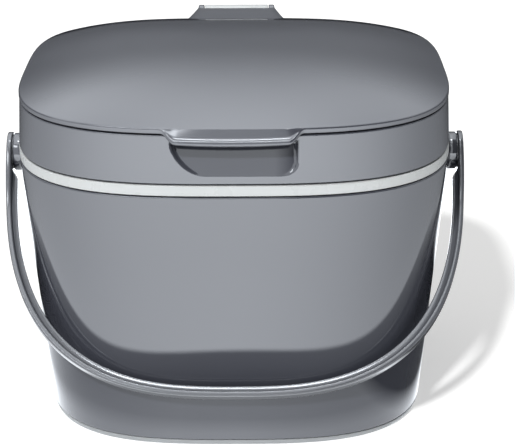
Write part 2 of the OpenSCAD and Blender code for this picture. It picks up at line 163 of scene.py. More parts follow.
def makeRoundTree():
    # bends a strip round a squarish oval, the rule that the pail, frame, collar, lid and seals share
    tree = bpy.data.node_groups.new("bendRoundSquarishOval", "GeometryNodeTree")
    face = tree.interface
    face.new_socket("Strip", in_out="INPUT", socket_type="NodeSocketGeometry")
    for label in ("Half width", "Half depth", "Front squareness", "Back squareness", "Weld"):
        face.new_socket(label, in_out="INPUT", socket_type="NodeSocketFloat")
    face.new_socket("Material", in_out="INPUT", socket_type="NodeSocketMaterial")
    face.new_socket("Shell", in_out="OUTPUT", socket_type="NodeSocketGeometry")
    given = addNode(tree, "NodeGroupInput").outputs
    place = addNode(tree, "ShaderNodeSeparateXYZ", {0: addNode(tree, "GeometryNodeInputPosition")}).outputs
    share = addNode(tree, "GeometryNodeInputNamedAttribute", {"Name": "share"}, data_type="FLOAT")
    angle = addNode(tree, sums, {0: place[1], 1: math.tau}, operation="MULTIPLY")
    parts = [addNode(tree, sums, {0: angle}, operation=operation) for operation in ("COSINE", "SINE")]
    atBack = addNode(tree, sums, {0: parts[1], 1: 0.0}, operation="GREATER_THAN")
    power = addNode(tree, "ShaderNodeMix", {
        0: atBack, 2: given["Front squareness"], 3: given["Back squareness"],
    }, data_type="FLOAT")
    powers = []
    for part in parts:
        size = addNode(tree, sums, {0: part}, operation="ABSOLUTE")
        powers.append(addNode(tree, sums, {0: size, 1: power}, operation="POWER"))
    total = addNode(tree, sums, {0: powers[0], 1: powers[1]}, operation="ADD")
    root = addNode(tree, sums, {0: -1.0, 1: power}, operation="DIVIDE")
    reach = addNode(tree, sums, {0: total, 1: root}, operation="POWER")
    reach = addNode(tree, sums, {0: reach, 1: share}, operation="MULTIPLY")
    sides = []
    for part, half in zip(parts, ("Half width", "Half depth")):
        grown = addNode(tree, sums, {0: given[half], 1: place[0]}, operation="ADD")
        along = addNode(tree, sums, {0: grown, 1: part}, operation="MULTIPLY")
        sides.append(addNode(tree, sums, {0: along, 1: reach}, operation="MULTIPLY"))
    spot = addNode(tree, "ShaderNodeCombineXYZ", {0: sides[0], 1: sides[1], 2: place[2]})
    moved = addNode(tree, "GeometryNodeSetPosition", {"Geometry": given["Strip"], "Position": spot})
    welded = addNode(tree, "GeometryNodeMergeByDistance", {"Geometry": moved, "Distance": given["Weld"]})
    real = addNode(tree, "GeometryNodeRealizeInstances", {"Geometry": welded})
    dressed = addNode(tree, "GeometryNodeSetMaterial", {"Geometry": real, "Material": given["Material"]})
    addNode(tree, "NodeGroupOutput", {"Shell": dressed})
    return tree


roundTree = makeRoundTree()


def bendRound(piece, material, weld=2e-6):
    # runs the tree on the strip, then keeps the result as a plain mesh
    live = piece.modifiers.new("bend", "NODES")
    live.node_group = roundTree
    values = {
        "Half width": caddy["halfWidth"] * mm,
        "Half depth": caddy["halfDepth"] * mm,
        "Front squareness": caddy["squareness"],
        "Back squareness": caddy["backSquareness"],
        "Weld": weld,
        "Material": material,
    }
    for item in roundTree.interface.items_tree:
        if item.in_out == "INPUT" and item.name in values:
            live[item.identifier] = values[item.name]
    ready = bpy.context.evaluated_depsgraph_get()
    mesh = bpy.data.meshes.new_from_object(piece.evaluated_get(ready))
    piece.modifiers.clear()
    flat = piece.data
    piece.data = mesh
    mesh.name = piece.name
    bpy.data.meshes.remove(flat)
    mesh.materials.clear()
    mesh.materials.append(material)


def tidyFaces(mesh):
    work = bmesh.new()
    work.from_mesh(mesh)
    bmesh.ops.remove_doubles(work, verts=work.verts, dist=1e-6)
    bmesh.ops.dissolve_degenerate(work, edges=work.edges, dist=1e-7)
    bmesh.ops.recalc_face_normals(work, faces=work.faces)
    for f in work.faces:
        f.smooth = True
        f.material_index = 0
    work.to_mesh(mesh)
    work.free()
    mesh.update()


def pieceFrom(name, work, material):
    # ends the work mesh as a tidied piece in one material
    mesh = bpy.data.meshes.new(name)
    work.to_mesh(mesh)
    work.free()
    mesh.materials.append(material)
    tidyFaces(mesh)
    return linked(name, mesh)


def skin(work, rings):
    # faces from ring to ring, all of as many points, and over both ends
    for a, b in zip(rings, rings[1:]):
        for j in range(len(a)):
            k = (j + 1) % len(a)
            work.faces.new((a[j], a[k], b[k], b[j]))
    work.faces.new(rings[0])
    work.faces.new(rings[-1][::-1])


def ringPiece(name, rows, material, closed=True):
    piece = stripMesh(name, rows, closed)
    bendRound(piece, material)
    tidyFaces(piece.data)
    return piece


def diskRows(out, z, inwards):
    # rows across a flat floor or cap, from the rim to the middle or back
    shares = [0.97, 0.9, 0.78, 0.6, 0.4, 0.2, 0.0]
    rows = [(out, z, s) for s in shares]
    return rows if inwards else rows[::-1]


def turned(name, rows, axisY, axisZ, material, steps=64, sign=1):
    # a piece turned about an axis along X: rows of (x, radius) in mm, closed at both ends
    work = bmesh.new()
    rings = []
    for x, radius in rows:
        if radius <= 0:
            rings.append([work.verts.new((sign * x * mm, axisY * mm, axisZ * mm))])
            continue
        ring = []
        for j in range(steps):
            a = math.tau * j / steps
            spot = (sign * x * mm, (axisY + radius * math.cos(a)) * mm, (axisZ + radius * math.sin(a)) * mm)
            ring.append(work.verts.new(spot))
        rings.append(ring)
    for low, high in zip(rings, rings[1:] + ([] if len(rings[0]) == 1 else [rings[0]])):
        for j in range(steps):
            k = (j + 1) % steps
            corners = [low[j % len(low)], low[k % len(low)], high[k % len(high)], high[j % len(high)]]
            unique = list(dict.fromkeys(corners))
            if len(unique) > 2:
                work.faces.new(unique)
    return pieceFrom(name, work, material)


def join(name, *others):
    # gathers several closed shells into one piece's mesh
    work = bmesh.new()
    for other in others:
        work.from_mesh(other.data)
    mesh = bpy.data.meshes.new(name)
    work.to_mesh(mesh)
    work.free()
    for material in others[0].data.materials:
        mesh.materials.append(material)
    for other in others:
        bpy.data.objects.remove(other)
    return linked(name, mesh)


# Camera, solved from the rim, band, foot, handle and hub lines of the photograph
eye = Vector((0.01066, -0.7535, 0.36728))
pitch, roll, yaw = 0.3705, -0.0034, -0.0007
focalPixels, frameWidth, sensorWidth = 1731.1, 515, 36.0
forward = Vector((math.sin(yaw) * math.cos(pitch), math.cos(yaw) * math.cos(pitch), -math.sin(pitch)))
right0 = Vector((math.cos(yaw), -math.sin(yaw), 0.0))
up0 = right0.cross(forward)
right = math.cos(roll) * right0 + math.sin(roll) * up0
up = -math.sin(roll) * right0 + math.cos(roll) * up0
cameraData = bpy.data.cameras.new("camera")
cameraData.sensor_fit = "HORIZONTAL"
cameraData.sensor_width = sensorWidth
cameraData.lens = sensorWidth * focalPixels / frameWidth
cameraData.clip_start = 0.02
camera = linked("camera", cameraData)
camera.matrix_world = Matrix((
    (right.x, up.x, -forward.x, eye.x),
    (right.y, up.y, -forward.y, eye.y),
    (right.z, up.z, -forward.z, eye.z),
    (0, 0, 0, 1),
))
scene.camera = camera
scene.view_settings.view_transform = "Standard"
print("camera set")


# The studio: a plain level for matte light, and what the gloss mirrors given apart from it
studio = {
    "keyStrength": 2.35,
    "keyAngle": 4.5,
    "keyFrom": (-0.38, -0.87, 1.0),
    "fill": 0.46,
    "floorLift": 0.36,
    "back": 6.3,
    "backPower": 2.45,
    "backLean": 0.4,
    "backSides": 0.5,
    "backSidesHigh": -0.5,
    "horizon": 0.16,
    "front": 2.5,
    "frontHigh": 5.5,
    "frontRight": 0.1,
    "topPanel": 34.0,
    "sidePanel": 14.0,
    # levels of the painted light that the paper shows only in mirror reflections
    "floorNear": 5.8,
    "floorFar": 7.0,
    "floorRight": 0.8,
    "floorPower": 1.5,
    "floorBehind": 4.5,
    "footGlow": 2.5,
    "footEdgeGlow": 4.0,
    "tint": (0.955, 1.0, 1.06, 1),
    "paper": "#EDEDEC",
    "paperHalf": 4.0,
}
# where parts of that light start and where they are full: in the world by the ray's direction
airEdges = {
    "backSides": (0.03, 0.28),
    "backLow": (0.86, 0.55),
    "frontHigh": (0.86, 0.90),
    "frontRight": (0.06, 0.13),
    "ahead": (0.05, -0.12),
}
# and on the paper's painted reflection in metres, or against the size of the painted shade patch and of the
# foot
paperEdges = {
    "paintedLight": (0.24, 0.66),
    "patch": (0.988, 1.012),
    "patchInner": (0.86, 0.99),
    "foot": (1.24, 1.10),
    "footEnd": (1.55, 1.46),
}
# the painted shade patch in the paper's mirror image: its middle and half sizes in metres, and its inner
# level
paintedShadePatch = {"x": 0.004, "y": 0.080, "halfWidth": 0.236, "halfDepth": 0.230, "inner": 0.6}
paperFoot = {"halfWidth": 0.086, "halfDepth": 0.0774}
# the painted glow at the foot from side to side: two places along X and the factor at each
footSides = ((-0.11, -0.03, 0.5, 1.0), (0.0, 0.08, 1.0, 0.7), (0.082, 0.10, 1.0, 0.05))


def makeWorld():
    world = bpy.data.worlds.new("studioAir")
    scene.world = world
    tree = emptyTree(world)
    ray = addNode(tree, "ShaderNodeLightPath").outputs
    way = addNode(tree, "ShaderNodeTexCoord").outputs["Generated"]
    x, y, z = addNode(tree, "ShaderNodeSeparateXYZ", {0: way}).outputs
    # behind the caddy a gradient that brightens upwards, mirrored by the lid's dome
    rise = addNode(tree, ease, {0: z, 1: 0.0, 2: 1.0, 3: 0.0, 4: 1.0})
    rise = addNode(tree, sums, {0: rise, 1: studio["backPower"]}, operation="POWER")
    lean = studio["backLean"]
    side = addNode(tree, ease, {0: x, 1: -1.0, 2: 1.0, 3: 1 + lean, 4: 1 - lean})
    back = addNode(tree, sums, {0: rise, 1: side}, operation="MULTIPLY")
    # at both sides it is lighter than in the middle low down, and darker high up
    aside = addNode(tree, sums, {0: x}, operation="ABSOLUTE")
    off, full = airEdges["backSides"]
    aside = addNode(tree, ease, {0: aside, 1: off, 2: full, 3: 0.0, 4: studio["backSides"]})
    off, full = airEdges["backLow"]
    low = addNode(tree, ease, {0: z, 1: off, 2: full, 3: studio["backSidesHigh"], 4: 1.0})
    aside = addNode(tree, sums, {0: aside, 1: low, 2: 1.0}, operation="MULTIPLY_ADD")
    back = addNode(tree, sums, {0: back, 1: aside}, operation="MULTIPLY")
    back = addNode(tree, sums, {0: back, 1: studio["back"], 2: studio["horizon"]}, operation="MULTIPLY_ADD")
    # towards the front a plain level, darker at the right
    off, full = airEdges["frontHigh"]
    front = addNode(tree, ease, {0: z, 1: off, 2: full, 3: studio["front"], 4: studio["frontHigh"]})
    off, full = airEdges["frontRight"]
    shade = addNode(tree, ease, {0: x, 1: off, 2: full, 3: 1.0, 4: studio["frontRight"]})
    front = addNode(tree, sums, {0: front, 1: shade}, operation="MULTIPLY")
    off, full = airEdges["ahead"]
    ahead = addNode(tree, ease, {0: y, 1: off, 2: full, 3: 0.0, 4: 1.0})
    glow = addNode(tree, "ShaderNodeMix", {0: ahead, 2: back, 3: front}, data_type="FLOAT")
    # two light panels, each as eased edges: one high in front, one lower at the front left
    panels = {
        "topPanel": ((z, 0.984, 0.992), (y, -0.03, -0.08), (x, 0.11, 0.05), (x, -0.60, -0.45)),
        "sidePanel": (
            (z, 0.66, 0.70), (z, 0.82, 0.79), (y, -0.05, -0.15), (x, -0.08, -0.13), (x, -0.60, -0.50),
        ),
    }
    for name, edges in panels.items():
        level = studio[name]
        for axis, off, full in edges:
            part = addNode(tree, ease, {0: axis, 1: off, 2: full, 3: 0.0, 4: 1.0}, **softEnds)
            level = addNode(tree, sums, {0: part, 1: level}, operation="MULTIPLY")
        glow = addNode(tree, sums, {0: glow, 1: level}, operation="ADD")
    seen = addNode(tree, "ShaderNodeBackground", {"Color": studio["tint"], "Strength": glow})
    matte = addNode(tree, "ShaderNodeBackground", {"Color": (1, 1, 1, 1), "Strength": studio["fill"]})
    white = addNode(tree, "ShaderNodeBackground", {"Color": (1, 1, 1, 1), "Strength": 1.0})
    gloss = addNode(tree, "ShaderNodeMixShader", {0: ray["Is Glossy Ray"], 1: matte, 2: seen})
    plain = addNode(tree, "ShaderNodeMixShader", {0: ray["Is Camera Ray"], 1: gloss, 2: white})
    addNode(tree, "ShaderNodeOutputWorld", {"Surface": plain})


def makeFloorMaterial():
    # matt studio paper; in mirror reflections only it shows painted light: a painted glow round a painted
    # shade patch that stands in for the caddy's own shade
    material = bpy.data.materials.new("whitePaperWithPaintedReflection")
    tree = emptyTree(material)
    ray = addNode(tree, "ShaderNodeLightPath").outputs
    here = addNode(tree, "ShaderNodeTexCoord").outputs["Object"]
    x, y = addNode(tree, "ShaderNodeSeparateXYZ", {0: here}).outputs[:2]
    reach = addNode(tree, "ShaderNodeVectorMath", {0: here}, operation="LENGTH").outputs["Value"]
    # the painted light on the paper is brightest straight in front and fades round the sides, faster at the
    # right
    off, full = paperEdges["paintedLight"]
    level = addNode(tree, ease, {0: reach, 1: off, 2: full, 3: studio["floorNear"], 4: studio["floorFar"]})
    turnY = addNode(tree, sums, {0: y, 1: reach}, operation="DIVIDE")
    facing = addNode(tree, ease, {0: turnY, 1: 1.0, 2: -1.0, 3: 0.0, 4: 1.0})
    facing = addNode(tree, sums, {0: facing, 1: studio["floorPower"]}, operation="POWER")
    turnX = addNode(tree, sums, {0: x, 1: reach}, operation="DIVIDE")
    rightSide = addNode(tree, ease, {0: turnX, 1: 0.0, 2: 1.0, 3: 1.0, 4: studio["floorRight"]})
    level = addNode(tree, sums, {0: level, 1: facing}, operation="MULTIPLY")
    level = addNode(tree, sums, {0: level, 1: rightSide}, operation="MULTIPLY")
    # the painted shade patch, by how far out from its middle a place lies, 1 on its edge
    middle = (paintedShadePatch["x"], paintedShadePatch["y"], 0)
    moved = addNode(tree, "ShaderNodeVectorMath", {0: here, 1: middle}, operation="SUBTRACT")
    scaled = addNode(tree, "ShaderNodeVectorMath", {
        0: moved, 1: (paintedShadePatch["halfWidth"], paintedShadePatch["halfDepth"], 1),
    }, operation="DIVIDE")
    away = addNode(tree, "ShaderNodeVectorMath", {0: scaled}, operation="LENGTH").outputs["Value"]
    off, full = paperEdges["patch"]
    edge = addNode(tree, ease, {0: away, 1: off, 2: full, 3: 0.0, 4: 1.0}, **softEnds)
    off, full = paperEdges["patchInner"]
    inner = addNode(tree, ease, {0: away, 1: off, 2: full, 3: 0.0, 4: paintedShadePatch["inner"]})
    # a painted glow on the paper right at the foot, by its size against the foot's own outline
    powers, power = [], caddy["squareness"]
    for axis, half in ((x, paperFoot["halfWidth"]), (y, paperFoot["halfDepth"])):
        part = addNode(tree, sums, {0: axis, 1: half}, operation="DIVIDE")
        part = addNode(tree, sums, {0: part}, operation="ABSOLUTE")
        powers.append(addNode(tree, sums, {0: part, 1: power}, operation="POWER"))
    near = addNode(tree, sums, {0: powers[0], 1: powers[1]}, operation="ADD")
    near = addNode(tree, sums, {0: near, 1: 1 / power}, operation="POWER")
    off, full = paperEdges["foot"]
    foot = addNode(tree, ease, {0: near, 1: off, 2: full, 3: studio["footGlow"], 4: studio["footEdgeGlow"]})
    off, full = paperEdges["footEnd"]
    footEnd = addNode(tree, ease, {0: near, 1: off, 2: full, 3: 0.0, 4: 1.0}, **softEnds)
    foot = addNode(tree, sums, {0: foot, 1: footEnd}, operation="MULTIPLY")
    for low, high, first, last in footSides:
        side = addNode(tree, ease, {0: x, 1: low, 2: high, 3: first, 4: last})
        foot = addNode(tree, sums, {0: foot, 1: side}, operation="MULTIPLY")
    inner = addNode(tree, sums, {0: inner, 1: foot}, operation="MAXIMUM")
    level = addNode(tree, "ShaderNodeMix", {0: edge, 2: inner, 3: level}, data_type="FLOAT")
    # a second stretch of painted light on the paper behind the caddy, for views from the back
    aside = addNode(tree, sums, {0: x}, operation="ABSOLUTE")
    behind = studio["floorBehind"]
    for axis, off, full in ((aside, 0.2, 0.1), (y, 0.11, 0.16), (y, 0.5, 0.35)):
        part = addNode(tree, ease, {0: axis, 1: off, 2: full, 3: 0.0, 4: 1.0}, **softEnds)
        behind = addNode(tree, sums, {0: part, 1: behind}, operation="MULTIPLY")
    level = addNode(tree, sums, {0: level, 1: behind}, operation="ADD")
    panel = addNode(tree, "ShaderNodeEmission", {"Color": studio["tint"], "Strength": level})
    paper = addNode(tree, "ShaderNodeBsdfDiffuse", {"Color": fromHex(studio["paper"])})
    lift = addNode(tree, sums, {0: ray["Is Camera Ray"], 1: studio["floorLift"]}, operation="MULTIPLY")
    lift = addNode(tree, "ShaderNodeEmission", {"Color": (1, 1, 1, 1), "Strength": lift})
    sheet = addNode(tree, "ShaderNodeAddShader", {0: paper, 1: lift})
    both = addNode(tree, "ShaderNodeMixShader", {0: ray["Is Glossy Ray"], 1: sheet, 2: panel})
    addNode(tree, "ShaderNodeOutputMaterial", {"Surface": both})
    return material


def makeStudio():
    makeWorld()
    floorMesh = bpy.data.meshes.new("floor")
    half = studio["paperHalf"]
    corners = [(-half, -half, 0), (half, -half, 0), (half, half, 0), (-half, half, 0)]
    floorMesh.from_pydata(corners, [], [(0, 1, 2, 3)])
    floorMesh.materials.append(makeFloorMaterial())
    floor = linked("floor", floorMesh)
    # the key comes from the front left, as the shadow on the floor says
    keyData = bpy.data.lights.new("key", "SUN")
    keyData.energy = studio["keyStrength"]
    keyData.angle = math.radians(studio["keyAngle"])
    key = linked("key", keyData)
    key.rotation_euler = Vector(studio["keyFrom"]).to_track_quat("Z", "Y").to_euler()
    key.visible_glossy = False


makeStudio()
print("studio set")


def mouldedPlastic(name, colour, roughness, ior, grain):
    # shared recipe of an injection-moulded surface: faint flow tone, fine orange peel, uneven polish
    material = bpy.data.materials.new(name)
    tree = emptyTree(material)
    here = addNode(tree, "ShaderNodeTexCoord").outputs["Object"]
    base, tone = fromHex(colour), 0.05
    dark = tuple(v * (1 - tone) for v in base[:3]) + (1,)
    light = tuple(v * (1 + tone) for v in base[:3]) + (1,)
    # flow tone in patches about 45 mm across, polish in patches of 11 mm
    flow = addNode(tree, "ShaderNodeTexNoise", {
        "Vector": here, "Scale": 22.0, "Detail": 3.0, "Roughness": 0.55,
    })
    ramp = addNode(tree, "ShaderNodeMix", {0: flow, "A": dark, "B": light}, data_type="RGBA")
    wear = addNode(tree, "ShaderNodeTexNoise", {
        "Vector": here, "Scale": 90.0, "Detail": 4.0, "Roughness": 0.6,
    })
    polish = addNode(tree, ease, {0: wear, 1: 0.3, 2: 0.7, 3: roughness * 0.85, 4: roughness * 1.2})
    # orange peel about 2.4 mm across, which softens the mirror image a little
    peel = addNode(tree, "ShaderNodeTexNoise", {
        "Vector": here, "Scale": 420.0, "Detail": 2.0, "Roughness": 0.5,
    })
    bump = addNode(tree, "ShaderNodeBump", {
        "Strength": grain, "Distance": 0.00002, "Height": peel.outputs["Fac"],
    })
    plastic = addNode(tree, "ShaderNodeBsdfPrincipled", {
        "Base Color": ramp.outputs["Result"], "Roughness": polish, "IOR": ior, "Normal": bump,
    })
    addNode(tree, "ShaderNodeOutputMaterial", {"Surface": plastic})
    return material


# each finish: colour, roughness, refractive index and depth of the surface grain
finishes = {
    # polished charcoal: a deep tone under a clear mirror of the paper and the room
    "polishedCharcoalAbs": ("#3F4149", 0.028, 1.55, 0.06),
    # the lid's slightly softer polish, so the room shows as a smooth gradient
    "lidCharcoalAbs": ("#41434B", 0.12, 1.55, 0.08),
    # satin grey of the handle, with broad soft lines along its edges
    "handleCharcoalAbs": ("#55575C", 0.12, 1.5, 0.1),
    # pale satin band, a plain light line round the dark body
    "paleFrameAbs": ("#BEC1C1", 0.28, 1.46, 0.35),
    # soft matt foot, lighter than the pail above it
    "footElastomer": ("#9A9D9F", 0.5, 1.45, 0.5),
    # dark matt rubbery cord, seen only when the caddy is open
    "sealSilicone": ("#3A3C40", 0.45, 1.42, 0.5),
    # fine matt tray under the lid, with no mirror image
    "linerPolypropylene": ("#3C3E44", 0.34, 1.49, 0.6),
    # nearly black ring, painted shade: its colour stands in for the shaded gap beside the handle
    "washerGapShadeNylon": ("#17181B", 0.4, 1.53, 0.4),
}
made = {name: mouldedPlastic(name, *values) for name, values in finishes.items()}


def turnedSteel():
    # bright drawn stainless: fine lathe rings on the pin heads, mirror-like at their rims
    material = bpy.data.materials.new("turnedStainless")
    tree = emptyTree(material)
    here = addNode(tree, "ShaderNodeTexCoord").outputs["Object"]
    # distance from the pivots' own axis
    flat = addNode(tree, "ShaderNodeVectorMath", {0: here, 1: (0, 1, 1)}, operation="MULTIPLY")
    middle = (0, 0, -caddy["pivotZ"] * mm)
    flat = addNode(tree, "ShaderNodeVectorMath", {0: flat, 1: middle}, operation="ADD")
    radius = addNode(tree, "ShaderNodeVectorMath", {0: flat}, operation="LENGTH").outputs["Value"]
    # tool marks coarser than real, so that they show
    markGap = 0.00025
    rings = addNode(tree, sums, {0: radius, 1: math.tau / markGap}, operation="MULTIPLY")
    rings = addNode(tree, sums, {0: rings}, operation="SINE")
    shade = addNode(tree, ease, {0: rings, 1: -1.0, 2: 1.0, 3: 0.22, 4: 0.32})
    mottle = addNode(tree, "ShaderNodeTexNoise", {"Vector": here, "Scale": 300.0, "Detail": 3.0})
    dull, bright = fromHex("#B9BBBE"), fromHex("#D2D3D5")
    tint = addNode(tree, "ShaderNodeMix", {0: mottle, "A": dull, "B": bright}, data_type="RGBA")
    bump = addNode(tree, "ShaderNodeBump", {"Strength": 0.3, "Distance": 0.00001, "Height": rings})
    steel = addNode(tree, "ShaderNodeBsdfPrincipled", {
        "Base Color": tint.outputs["Result"], "Metallic": 1.0, "Roughness": shade, "Normal": bump,
    })
    addNode(tree, "ShaderNodeOutputMaterial", {"Surface": steel})
    return material


made["turnedStainless"] = turnedSteel()
print("finishes made:", len(made))


# Pail
pail = {
    "wall": 2.8,
    "floor": 2.8,
    "innerRadius": 16.0,
    "footWidth": 8.0,
    "underside": 1.2,
    "stepIn": 0.8,
    "stepUp": 0.6,
}


def makePail():
    foot, rim, wall, curve = caddy["footHeight"], caddy["rimHeight"], pail["wall"], pail["innerRadius"]
    floorTop = foot + pail["floor"]
    curveTop = floorTop + curve
    footIn, step = leanAt(foot) - pail["footWidth"], foot + pail["stepUp"]
    outside = fillet([
        (footIn, pail["underside"], 0),
        (footIn, foot, 0.3),
        (leanAt(foot) - pail["stepIn"], foot, 0.2),
        (leanAt(step), step, 0.5),
        (leanAt(foot + 40), foot + 40, 0),
        (leanAt(foot + 80), foot + 80, 0),
        (leanAt(rim), rim, 0.7),
        (-wall, rim, 0.7),
        (leanAt(curveTop) - wall, curveTop, 0),
    ])
    # the curve from the wall down to the floor, in steps of ten degrees
    inside = []
    for k in range(1, 10):
        a = math.radians(10 * k)
        x = leanAt(curveTop) - wall - curve * (1 - math.cos(a))
        inside.append((x, floorTop + curve * (1 - math.sin(a))))
    rows = diskRows(footIn, pail["underside"], False) + outside + inside
    rows += diskRows(inside[-1][0], floorTop, True)
    piece = ringPiece("pail_shell", rows, made["polishedCharcoalAbs"], closed=False)
    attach(piece, "pail")
    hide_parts("pail")


footRing = {"waist": 1.2, "recess": 0.35, "tuck": 0.9}


def makeFootRing():
    foot, waist = caddy["footHeight"], footRing["waist"]
    back = leanAt(foot) - pail["footWidth"]
    rows = fillet([
        (back, 0, 0.2),
        (leanAt(0) - 0.6, 0, 0.6),
        (leanAt(waist) - 0.15, waist, 0.4),
        (leanAt(foot) - 0.3, foot - footRing["recess"], 0.25),
        (leanAt(foot) - footRing["tuck"], foot, 0.2),
        (back, foot, 0.2),
    ], closed=True)
    piece = ringPiece("foot_ring_soft", rows, made["footElastomer"])
    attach(piece, "pail")
    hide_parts("foot_ring")


makePail()
makeFootRing()
print("pail made")


# Pale lid frame with the hinge barrel
frameRing = {
    "skirtWall": 1.6,
    "skirtDepth": 7.8,
    "skirtOut": -3.6,
    "grooveIn": -2.6,
    "grooveOut": -1.0,
    "grooveDeep": 1.2,
    "upstandOut": -3.0,
    "upstandHigh": 4.6,
    "barrelRadius": 5.0,
    "barrelLength": 31.4,
    "webWidth": 30.8,
    "webFront": 87.6,
    "webBack": 90.3,
    "webFootFront": 85.8,
    "webRaise": 1.6,
    "pinRadius": 1.55,
}


def blockBetween(name, low, high, edge, material):
    # a moulded web: a box with rounded edges
    work = bmesh.new()
    bmesh.ops.create_cube(work, size=1.0)
    for v in work.verts:
        for k in range(3):
            v.co[k] = (low[k] if v.co[k] < 0 else high[k]) * mm
    bmesh.ops.bevel(work, geom=work.edges[:], offset=edge * mm, segments=3, profile=0.6, affect="EDGES")
    return pieceFrom(name, work, material)


def makeFrameRing():
    low, high, rim = caddy["bandLow"], caddy["bandHigh"], caddy["rimHeight"]
    skirtOut, skirtLow = frameRing["skirtOut"], rim - frameRing["skirtDepth"]
    skirtIn = skirtOut - frameRing["skirtWall"]
    grooveIn, grooveOut = frameRing["grooveIn"], frameRing["grooveOut"]
    grooveTop = low + frameRing["grooveDeep"]
    upstand, upstandTop = frameRing["upstandOut"], high + frameRing["upstandHigh"]
    rows = fillet([
        (skirtIn, skirtLow, 0.4),
        (skirtOut, skirtLow, 0.4),
        (skirtOut, low, 0.3),
        (grooveIn, low, 0.1),
        (grooveIn, grooveTop, 0.1),
        (grooveOut, grooveTop, 0.1),
        (grooveOut, low, 0.1),
        (0, low, 0.45),
        (0, high, 0.45),
        (upstand, high, 0.2),
        (upstand, upstandTop, 0.4),
        (skirtIn, upstandTop, 0.4),
    ], closed=True)
    material = made["paleFrameAbs"]
    band = ringPiece("band", rows, material)
    # the hinge's bracket: a foot on the band, a web up to the barrel, and the barrel with its bore
    half, back, bottom = frameRing["webWidth"] / 2, frameRing["webBack"], low + frameRing["webRaise"]
    near, far = (-half, frameRing["webFootFront"], bottom), (half, back, high - 0.4)
    foot = blockBetween("webFoot", near, far, 0.4, material)
    near, far = (-half, frameRing["webFront"], bottom), (half, back, caddy["hingeZ"])
    web = blockBetween("web", near, far, 0.5, material)
    end, r, bore = frameRing["barrelLength"] / 2, frameRing["barrelRadius"], frameRing["pinRadius"]
    barrel = turned("barrel", [
        (-end, bore + 0.2), (-end, r - 0.5), (-end + 0.15, r - 0.15), (-end + 0.5, r),
        (0, r), (end - 0.5, r), (end - 0.15, r - 0.15), (end, r - 0.5),
        (end, bore + 0.2), (end - 0.3, bore), (-end + 0.3, bore),
    ], caddy["hingeY"], caddy["hingeZ"], material)
    piece = join("lid_frame", band, foot, web, barrel)
    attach(piece, "frame")
    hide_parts("frame_ring")


makeFrameRing()
print("lid frame made")


# Collar with its finger scoop
scoop = {
    "middle": 0.7,
    "width": 52.8,
    "slope": 0.34,
    "dip": 0.3,
    "low": 128.5,
    "high": 144.2,
    "leftCorner": 15.5,
    "leftPower": 1.75,
    "rightCorner": 7.0,
    "rightPower": 2.0,
    "wall": 1.6,
    "softStart": 1.4,
    "softSide": 1.2,
    "frontY": -70,
    "outerSkin": 2.0,
    "innerSkin": 4.2,
    "innerNarrow": 0.94,
    "innerRaise": 0.9,
    "innerDepth": 0.9,
}
collar = {
    "lean": 1.1,
    "wall": 2.9,
    "land": 4.5,
    "landThick": 1.8,
    "groove": 0.8,
    "grooveIn": 2.4,
    "steps": 720,
    "crowd": 0.4,
}


def smooth(a, b, v):
    t = min(1.0, max(0.0, (v - a) / (b - a)))
    return t * t * (3 - 2 * t)


def scoopDepth(x, z):
    # mm pressed in at a place on the collar's front: a ramp inside the scoop's outline, nothing outside
    side = "left" if x < scoop["middle"] else "right"
    corner, power = scoop[side + "Corner"], scoop[side + "Power"]
    dx = abs(x - scoop["middle"]) - (scoop["width"] / 2 - corner)
    dz = scoop["low"] + corner - z
    reach = (max(dx, 0) ** power + max(dz, 0) ** power) ** (1 / power)
    outside = reach + min(max(dx, dz), 0) - corner
    t = max(0.0, z - scoop["low"])
    soft = scoop["softStart"]
    ramp = t * t / (2 * soft) if t < soft else t - soft / 2
    side = smooth(0.0, scoop["softSide"], -outside)
    return scoop["slope"] * ramp * side * smooth(scoop["high"], scoop["high"] - 1.0, z)


def makeCollar():
    base, top = caddy["bandHigh"], caddy["collarTop"]
    lean, wall, grooveIn = collar["lean"], collar["wall"], collar["grooveIn"]
    land, landLow = -lean - collar["land"], top - collar["landThick"]
    tilt = lean / (top - base)
    # rows close together down both walls, so that the scoop can be pressed in
    front = [(-tilt * (z - base), z) for z in [base + 1.5 + 0.45 * k for k in range(43)]]
    rows = fillet([
        (-wall, base, 0.2),
        (-grooveIn, base, 0.1),
        (-grooveIn, base + collar["groove"], 0.1),
        (0, base + collar["groove"], 0.3),
        (*front[0], 0),
    ])
    rows += front[1:]
    rows += fillet([
        (*front[-1], 0),
        (-lean, top, 0.55),
        (land, top, 0.4),
        (land, landLow, 0.3),
        (-lean - wall, landLow, 0.2),
        (-lean - wall, top - 2.4, 0),
    ])[1:]
    rows += [(-tilt * (z - base) - wall, z) for z in [top - 2.9 - 0.6 * k for k in range(29)]]
    piece = stripMesh("collar_shell", rows, True, collar["steps"], collar["crowd"])
    bendRound(piece, made["polishedCharcoalAbs"])
    # press the scoop in: the outer wall goes in by its depth, the inner wall keeps a thin shell behind it
    halfWidth, halfDepth, power = caddy["halfWidth"], caddy["halfDepth"], caddy["squareness"]
    for v in piece.data.vertices:
        x, y, z = (c / mm for c in v.co)
        if y > scoop["frontY"] or not scoop["low"] - 3 < z < top:
            continue
        deep = halfDepth * (1 - (abs(x) / halfWidth) ** power) ** (1 / power) + y
        if deep < scoop["outerSkin"]:
            pressed = scoopDepth(x, z)
        elif deep < scoop["innerSkin"]:
            behind = scoopDepth(x * scoop["innerNarrow"], z + scoop["innerRaise"])
            pressed = max(0.0, behind - (wall - scoop["wall"])) * scoop["innerDepth"]
        else:
            continue
        v.co.y += pressed * mm
        v.co.z -= pressed * scoop["dip"] * mm
    tidyFaces(piece.data)
    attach(piece, "frame")
    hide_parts("collar")


makeCollar()
print("collar made")


